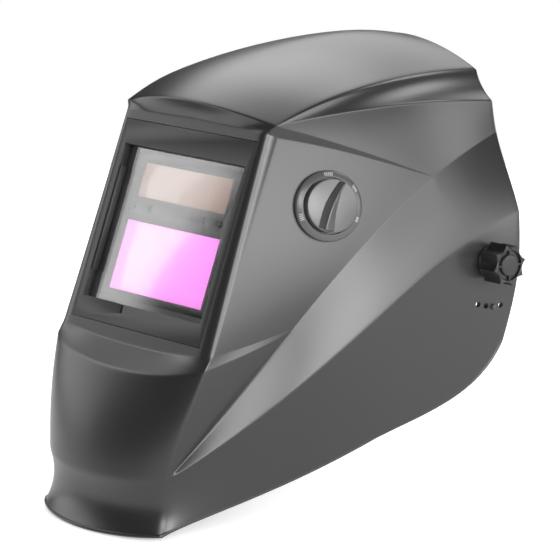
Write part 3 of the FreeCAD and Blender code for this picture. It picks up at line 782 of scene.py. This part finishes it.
# %% Sweep a bead along a path
def swept_tree():
    tree = bpy.data.node_groups.new("bead_along_edge", "GeometryNodeTree")
    tree.interface.new_socket("Geometry", in_out="INPUT", socket_type="NodeSocketGeometry")
    for name, kind in (("Radius", "NodeSocketFloat"), ("Finish", "NodeSocketMaterial")):
        tree.interface.new_socket(name, in_out="INPUT", socket_type=kind)
    tree.interface.new_socket("Geometry", in_out="OUTPUT", socket_type="NodeSocketGeometry")
    start, end = tree.nodes.new("NodeGroupInput"), tree.nodes.new("NodeGroupOutput")
    path = Wire(tree, start.outputs["Geometry"]).make(
        "GeometryNodeMeshToCurve", {0: Wire(tree, start.outputs["Geometry"])})
    ring = path.make("GeometryNodeCurvePrimitiveCircle",
                     {"Resolution": 10, "Radius": Wire(tree, start.outputs["Radius"])})
    tube = path.make("GeometryNodeCurveToMesh", {"Curve": path, "Profile Curve": ring, "Fill Caps": True})
    solid = tube.make("GeometryNodeRealizeInstances", {0: tube})
    dressed = solid.make("GeometryNodeSetMaterial",
                         {"Geometry": solid, "Material": Wire(tree, start.outputs["Finish"])})
    dressed.into(end, "Geometry")
    return tree


def run_tree(thing, tree, **values):
    """Run a Geometry Nodes tree on a piece, its inputs set by name, and keep the plain mesh."""
    step = thing.modifiers.new("nodes", "NODES")
    step.node_group = tree
    for item in tree.interface.items_tree:
        if item.in_out == "INPUT" and item.name in values:
            step[item.identifier] = values[item.name]
    return baked(thing)


def line_piece(name, points, closed=False):
    """A bare chain of edges through points, in metres."""
    mesh = bpy.data.meshes.new(name)
    count = len(points)
    steps = [(k, (k + 1) % count) for k in range(count - (not closed))]
    mesh.from_pydata([tuple(p) for p in points], steps, [])
    thing = bpy.data.objects.new(name, mesh)
    bpy.context.scene.collection.objects.link(thing)
    return thing


def along_rim():
    """Points along the whole rim, both halves, about a third of the way to the inner skin."""
    even = weights(np.linspace(0, 1, 40))
    poles = [curves[name] for name in rims[:-1]] + [curves["hem_front"][::-1]]
    outer = [np.einsum("iu,uk->ik", even, rim) for rim in poles]
    left = np.concatenate([part[:-1] for part in outer] + [outer[-1][-1:]])
    inner = inset(left)
    left = left + (inner - left) * 0.35
    right = (left * np.array((-1, 1, 1)))[::-1]
    return np.concatenate([left, right[1:-1]]) / 1000


bead_tree = swept_tree()
bead = line_piece("rim_bead", along_rim(), closed=True)
run_tree(bead, bead_tree, Radius=0.0011, Finish=shell_satin)
fit(bead, "helmet", "shell_plastic", shell_satin)

# %% [markdown]
# ## The window
# The frame that holds the filter is a separate black moulding set flush in the shell. Its sharp
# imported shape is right, so it only needs softened edges. Two slim lips down the sides of the
# opening hold the clear cover in, and a fingernail slot at the foot lets the wearer spring
# the cover out.

# %% Lens frame
window = whole_copy("window_frame", "lens_frame")
rounded(window, 0.3)
lips = []
for side in (-1, 1):
    x = sorted((side * 57.3, side * 59.2))
    lip = brick("cover_lip", x, (-7.4, -3.1), (-34.3, 30.2), window_frame)
    lips.append(rounded(lip, 0.3))
fit(joined("window_surround", window, *lips), "helmet", "frame_plastic", frame_satin, "lens_frame")

# %% Cover, filter, cell and sensors
refine("clear_cover", "cover_lens", 0.15, "helmet", "clear_lens", clear_cover, 1)
refine("filter_cartridge", "filter_case", 0.3, "helmet", "frame_plastic", case_plastic)
refine("dark_filter", "lcd_panel", 0.2, "helmet", "lcd_glass", pink_filter_painted_glow)
refine("solar_strip", "solar_cell", 0.2, "helmet", "solar_glass", brown_cell_painted_glow)
eyes = []
for x in (-43, -26, 26, 43):
    spot = window_frame @ Matrix.Translation((x, 0, 8.3)) @ Matrix.Rotation(math.radians(90), 4, "X")
    eyes.append(lathe("eye", [(0, -2.9), (2.2, -2.9), (2.2, -0.5), (1.9, -0.25), (1.5, -0.3), (1.3, -0.7),
                              (0.7, -0.45), (0, -0.35)], spot, 40))
fit(joined("arc_eyes", *eyes), "helmet", "sensor_glass", sensor_black, "arc_sensors")
refine("inner_cover", "inner_lens", 0.15, "helmet", "clear_lens", clear_cover, 1)
refine("battery_lid", "battery_cover", 0.3, "helmet", "frame_plastic", case_plastic)
refine("lens_retainer", "retainer", 0.35, "lens_retainer", "frame_plastic", frame_satin)

# %% [markdown]
# ## Two small trim knobs inside
# Sensitivity and delay are set with fluted knobs on the back of the cartridge. Flutes repeat
# round an axis, so one small rib is made and Geometry Nodes sets copies round the knob.


# %% Copies round an axis
def round_tree():
    tree = bpy.data.node_groups.new("copies_round_an_axis", "GeometryNodeTree")
    tree.interface.new_socket("Geometry", in_out="INPUT", socket_type="NodeSocketGeometry")
    for name, kind in (("Count", "NodeSocketInt"), ("Radius", "NodeSocketFloat"),
                       ("First", "NodeSocketFloat"),
                       ("Step", "NodeSocketFloat"), ("Finish", "NodeSocketMaterial")):
        tree.interface.new_socket(name, in_out="INPUT", socket_type=kind)
    tree.interface.new_socket("Geometry", in_out="OUTPUT", socket_type="NodeSocketGeometry")
    start, end = tree.nodes.new("NodeGroupInput"), tree.nodes.new("NodeGroupOutput")
    given = {s.name: Wire(tree, s) for s in start.outputs if s.name}
    points = given["Count"].make("GeometryNodePoints", {"Count": given["Count"]})
    turn = points.make("GeometryNodeInputIndex", {}) * given["Step"] + given["First"]
    spot = turn.make("ShaderNodeCombineXYZ", {0: turn.maths("COSINE") * given["Radius"],
                                              1: turn.maths("SINE") * given["Radius"]})
    points = spot.make("GeometryNodeSetPosition", {"Geometry": points, "Position": spot})
    spin = turn.make("ShaderNodeCombineXYZ", {2: turn})
    copies = points.make("GeometryNodeInstanceOnPoints",
                         {"Points": points, "Instance": given["Geometry"], "Rotation": spin})
    solid = copies.make("GeometryNodeRealizeInstances", {0: copies})
    coloured = solid.make("GeometryNodeSetMaterial", {"Geometry": solid, "Material": given["Finish"]})
    coloured.into(end, "Geometry")
    return tree


copies_tree = round_tree()
FLAT = Matrix.Identity(4)


def ribs_round(name, unit, count, radius, first, step, place, finish):
    """Copies of a unit piece, drawn at the origin in millimetres, set round a frame's z axis."""
    run_tree(unit, copies_tree, Count=count, Radius=radius, First=first, Step=step, Finish=finish)
    unit.data.transform(place)
    unit.name = name
    return unit


# %% Trim knobs
for name, node, body, x in (("sensitivity_trim", "sensitivity_knob", "sensitivity", -22),
                            ("delay_trim", "delay_knob", "delay", 8)):
    place = window_frame @ Matrix.Translation((x, 8.8, 25)) @ Matrix.Rotation(math.radians(-90), 4, "X")
    knob = lathe("knob", [(0, -5.8), (2.5, -5.8), (2.5, 0), (6.2, 0), (6.5, 0.3), (6.5, 5.3),
                          (5.9, 5.9), (0, 6.0)], place, 64)
    pointer = brick("pointer", (-0.9, 0.9), (1.0, 6.1), (5.8, 6.2), place)
    rib = rounded(brick("rib", (-0.5, 0.5), (-0.45, 0.45), (0.4, 5.2), FLAT), 200, 2)
    flutes = ribs_round("flutes", rib, 18, 6.5, 0.0, math.pi / 9, place, case_plastic)
    fit(joined(name, knob, pointer, flutes), body, "frame_plastic", case_plastic, node)

# %% [markdown]
# ## The shade dial
# A sloped ring is screwed to the facet from inside, and the dial turns in it. The dial's grip is
# a wedge: one side is a hollow, nearly upright wall for the fingertips, and the other falls
# away in a broad triangle. It is lofted from sections across the grip, one for each station
# along it. The ring carries four groups of plain marks where a scale would be.

# %% Dial ring and its marks
ring = lathe("dial_ring_body", [(5.1, 0.5), (20.1, 0.5), (20.5, 0.9), (20.5, 2.1), (20.2, 2.7), (19.6, 3.1),
                                (17.0, 4.35), (16.6, 4.4), (16.2, 4.1), (16.2, 2.0), (5.1, 2.0)],
             dial_frame, 128, ring=True)
fit(ring, "helmet", "dial_plastic", dial_satin, "dial_ring")
marks = []
for turn, count in ((194, 4), (27, 4), (-31, 3), (86, 5)):
    tilt = Matrix.Rotation(math.radians(25), 4, "Y")
    mark = brick("mark", (-1.15, 1.15), (-0.3, 0.3), (-0.3, 0.14), tilt)
    step = math.radians(3.4)
    first = math.radians(turn) - step * (count - 1) / 2
    marks.append(ribs_round("marks", mark, count, 18.35, first, step,
                            dial_frame @ Matrix.Translation((0, 0, 3.68)), pale_print))
fit(joined("dial_marks", *marks), "helmet", "dial_plastic", pale_print)

# %% Dial with its wedge grip
knob_frame = dial_frame @ Matrix.Rotation(math.radians(60), 4, "Z")
dish = lathe("dish", [(0, -2.4), (3, -2.4), (3, 4.6), (15.2, 4.6), (15.6, 5.0), (15.6, 8.3), (15.3, 8.8),
                      (14.6, 9.0), (0, 9.0)], knob_frame, 96)
sections = []
for s in np.linspace(-1, 1, 25):
    u = 14.6 * s
    ridge = 0.2 + 1.6 * (1 - s * s) - 0.8
    wall, slope = ridge + 3.9 - 1.2 * (s > 0) * s, ridge - 0.9 - 5.6 * (1 - s) / 2
    reach = math.sqrt(max(15.0 ** 2 - u * u, 0.2))
    wall, slope = min(wall, reach), max(slope, -reach)
    top = 13.3 - 0.5 * s * s
    across = [(wall, 8.6), (wall - 0.2, 9.3), (ridge + 1.5, 11.2), (ridge + 0.5, top - 0.2), (ridge, top),
              (ridge - 0.5, top - 0.3), ((ridge + slope) / 2, (top + 9) / 2), (slope, 9.1), (slope, 8.6)]
    sections.append([knob_frame @ Vector((u, v, w)) for v, w in across])
rows, width = len(sections), len(sections[0])
faces = [(i * width + j, i * width + j + 1, (i + 1) * width + j + 1, (i + 1) * width + j)
         for i in range(rows - 1) for j in range(width - 1)]
faces += [tuple(range(width)), tuple(range((rows - 1) * width, rows * width))]
faces += [(i * width, (i + 1) * width, (i + 2) * width - 1, (i + 1) * width - 1) for i in range(rows - 1)]
grip = build("grip", [p for row in sections for p in row], faces)
fit(joined("shade_dial_knob", dish, grip), "dial", "dial_plastic", dial_satin, "shade_dial", sharp=28)
refine("dial_lock_nut", "dial_nut", 0.25, "helmet", "metal", steel)
refine("dial_sensor_can", "dial_pot", 0.3, "helmet", "metal", steel)
refine("dial_lead", "dial_cable", 0, "helmet", "cable_jacket", cable_black)

# %% [markdown]
# ## Star knobs and pivots
# Each side has a star knob with eight points and hollow flutes between them, a recessed ring
# crossed by four ribs, and a domed boss. Its outline is a wave round the axis, so it is made
# as rows of points whose radius follows that wave, one row for each height.

# %% Star knob
TIPS, TURN = 8, math.radians(11)


def star_wave(angle):
    """1 at a point of the star, falling to 0.79 in the hollow between two."""
    phase = ((angle - TURN) * TIPS / (2 * math.pi)) % 1.0
    return 0.79 + 0.21 * abs(2 * phase - 1) ** 2.2


def star_knob(name, place):
    rows = [(4.05, 127, 0), (4.05, 115.5, 0), (11.7, 115.5, 1), (12.5, 116.3, 1), (12.6, 129.6, 1),
            (12.35, 130.3, 1), (11.7, 130.7, 1), (9.3, 130.6, 0), (8.9, 130.3, 0), (8.7, 128.8, 0),
            (6.5, 128.8, 0), (6.3, 130.2, 0), (5.9, 130.7, 0), (4.4, 130.95, 0), (2.2, 131.0, 0),
            (0.01, 131.0, 0)]
    count = TIPS * 16
    verts, faces = [], []
    for k in range(count):
        a = 2 * math.pi * k / count + TURN
        for r, h, lobed in rows:
            r = r * (star_wave(a) if lobed else 1)
            verts.append(place @ Vector((r * math.cos(a), r * math.sin(a), h)))
    n = len(rows)
    for k in range(count):
        m = (k + 1) % count
        faces += [(k * n + i, k * n + i + 1, m * n + i + 1, m * n + i) for i in range(n - 1)]
    faces.append(tuple(k * n for k in range(count)))
    body = build("star_body", verts, faces)
    rib = brick("rib", (-1.4, 1.4), (-0.4, 0.4), (128.6, 130.35), FLAT)
    spokes = ribs_round("spokes", rib, 4, 7.6, 0.0, math.pi / 2, place, knob_black)
    return joined(name, body, spokes)


for side, place in pivot_frames.items():
    fit(star_knob("star_knob_" + side + "_grip", place), side + "_star", "knob_plastic", knob_black,
        "star_knob_" + side, sharp=30)
    refine("arm_" + side, "side_arm_" + side, 0.5, "headgear", "headgear_plastic", band_plastic)
    refine("stud_" + side, "pivot_stud_" + side, 0.4, "headgear", "metal", steel)
    refine("washer_" + side, "friction_washer_" + side, 0.2, "headgear", "headgear_plastic", case_plastic)
    refine("tilt_limit_" + side, "tilt_stop_" + side, 0.3, "helmet", "headgear_plastic", band_plastic)

# %% [markdown]
# ## Headgear bands and straps
# The headgear is thin strip nylon bent round the head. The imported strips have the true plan, so
# they are kept, with softened edges, and what the hand sees is cut into them: vents ahead, a
# row of adjustment slots at the sides, and peg holes along the crown strap.

# %% Front band with vents, rear band with slots
band = whole_copy("front_band", "front_headband")
vents = []
for k in range(-4, 5):
    t = math.radians(90 + 17 * k)
    x, y = 78 * math.cos(t), -22 - 77 * math.sin(t)
    place = band_frame @ Matrix.Translation((x, y, 0)) @ Matrix.Rotation(math.atan2(y + 22, x), 4, "Z")
    vents.append(rounded(brick("vent", (-4, 4), (-6.5, 6.5), (-3, 3), place), 2.2, 4))
carve(band, vents)
rounded(band, 0.35)
fit(band, "headgear", "headgear_plastic", band_plastic, "front_headband")

nape = whole_copy("nape_band", "rear_band")
slots = [brick("slot", (side * 77 - 5, side * 77 + 5), (y, y + 1.6), (-3, 3), band_frame)
         for side in (-1, 1) for y in np.arange(-14, 18, 3.4)]
carve(nape, slots)
fit(nape, "rear", "headgear_plastic", band_plastic, "rear_band")

# %% Crown strap with peg holes, and the sleeve that joins its halves
for side in ("left", "right"):
    strap = whole_copy("crown_strap_" + side, "strap_" + side)
    holes = [lathe("hole", [(0, 60), (2.1, 60), (2.1, 115), (0, 115)],
                   band_frame @ Matrix.Translation((x, 0, 0)), 24) for x in np.arange(-18, 47, 9.0)]
    if side == "left":
        carve(strap, holes)
    else:
        for hole in holes:
            bpy.data.objects.remove(hole)
    rounded(strap, 0.3)
    fit(strap, "headgear", "headgear_plastic", band_plastic, "strap_" + side)
lean = band_frame @ Matrix.Translation((-29.9, 0, 13 + 85.8 * math.sqrt(1 - (29.9 / 79.8) ** 2)))
lean = lean @ Matrix.Rotation(-math.radians(23.4), 4, "Y")
sleeve = rounded(brick("strap_sleeve", (-8, 8), (-10.5, 10.5), (-1.9, 1.9), lean), 1.2, 3)
button = lathe("button", [(0, 1), (3.4, 1), (3.4, 2.4), (2.7, 3.0), (0, 3.2)], lean, 40)
fit(joined("strap_joint", sleeve, button), "headgear", "headgear_plastic", band_plastic)

# %% Size knob and its housing
refine("ratchet_cover", "ratchet_housing", 2.6, "rear", "headgear_plastic", band_plastic, 4)
back = band_frame @ Matrix.Translation((0, 80, 0)) @ Matrix.Rotation(math.radians(-90), 4, "X")
knob = lathe("size_body", [(0, 4), (4, 4), (4, 10.4), (16.6, 10.4), (17.6, 11.2), (17.6, 18.6), (16.4, 19.8),
                           (12.5, 19.9), (11.6, 19.2), (11.2, 18.8), (0, 18.8)], back, 96)
rib = rounded(brick("rib", (-1.0, 1.3), (-1.1, 1.1), (10.9, 19.0), FLAT), 500, 3)
flutes = ribs_round("size_flutes", rib, 24, 17.6, 0.0, math.pi / 12, back, knob_black)
fit(joined("size_dial", knob, flutes), "ratchet", "knob_plastic", knob_black, "size_knob")

# %% [markdown]
# ## Pads
# The brow pad and the nape pad are foam in perforated cloth. A foam pad is not a block: it
# swells between its edges and lies flat on the band. So each block is remeshed into an even
# skin, swelled by cloth pressure, held back where it touches the band, and smoothed. The
# perforation follows the length of the pad, so each point stores how far along it lies.


# %% Perforated cloth
def perforated(name, tone):
    finish, shader, place = new_finish(name, 0.85, sheen_weight=0.25, sheen_roughness=0.5)
    lay = place.make("ShaderNodeAttribute", {}, out="Vector", attribute_name="lay")
    split = lay.make("ShaderNodeSeparateXYZ", {0: lay})
    up = Wire(split.tree, split.socket.node.outputs[1])
    spots = []
    for shift in (0.0, 0.5):
        a, b = [((side * 250.0 + shift).maths("FRACT") - 0.5).maths("POWER", 2.0) for side in (split, up)]
        spots.append(a + b)
    shaded_pit = spots[0].maths("MINIMUM", spots[1]).maths("LESS_THAN", 0.028)
    weave, cloud = noise(place, 1800.0, 2.0), noise(place, 60.0, 3.0)
    # The pits are painted dark, down to a fifth of the cloth's tone: painted shade in the holes. The
    # cloudiness in the mix is random tone.
    blend_tone(shaded_pit * 0.8 + cloud * 0.2, tone, [c * 0.2 for c in tone]).into(shader, "Base Color")
    bump(weave * 0.3 + cloud * 0.5 + (shaded_pit * -1.0), 0.00025, shader)
    return finish


pad_cloth = perforated("perforated_cloth", (0.045, 0.045, 0.05))


# %% Swell a pad
def swelled(name, node, body, voxel, cap):
    thing = whole_copy(name, node)
    skin = thing.modifiers.new("skin", "REMESH")
    skin.mode, skin.voxel_size = "VOXEL", voxel
    baked(thing)
    start = np.array([v.co for v in thing.data.vertices])
    cloth = thing.modifiers.new("cloth", "CLOTH")
    cloth.settings.use_pressure = True
    cloth.settings.uniform_pressure_force = 4.0
    cloth.settings.effector_weights.gravity = 0.0
    for step in range(1, 21):
        bpy.context.scene.frame_set(step)
    baked(thing)
    bpy.context.scene.frame_set(1)
    moved = np.array([v.co for v in thing.data.vertices]) - start
    outward = start - np.array([0, 0, 0.012])
    outward[:, 2] = 0
    outward /= np.linalg.norm(outward, axis=1)[:, None]
    lift = np.clip((moved * outward).sum(1), 0, None)
    moved -= outward * lift[:, None]
    far = np.linalg.norm(moved, axis=1)
    moved *= np.minimum(1, cap / np.maximum(far, 1e-9))[:, None]
    thing.data.vertices.foreach_set("co", (start + moved).ravel())
    smooth = thing.modifiers.new("smooth", "SMOOTH")
    smooth.iterations, smooth.factor = 2, 0.5
    finer = thing.modifiers.new("finer", "SUBSURF")
    finer.levels = finer.render_levels = 1
    baked(thing)
    points = np.array([band_frame.inverted() @ v.co for v in thing.data.vertices]) / 1000
    lay = np.stack([np.arctan2(points[:, 0], -np.sign(points[:, 1].mean() * -1) * points[:, 1]) * 0.075,
                    points[:, 2], points[:, 2] * 0], axis=1)
    thing.data.attributes.new("lay", "FLOAT_VECTOR", "POINT").data.foreach_set("vector", lay.ravel())
    fit(thing, body, "pad_fabric", pad_cloth, node, sharp=80)
    print("  swelled by up to %.1f mm" % (1000 * np.linalg.norm(moved, axis=1).max()))


swelled("brow_cushion", "sweatband", "headgear", 0.003, 0.0016)
swelled("nape_cushion", "rear_pad", "rear", 0.003, 0.0016)
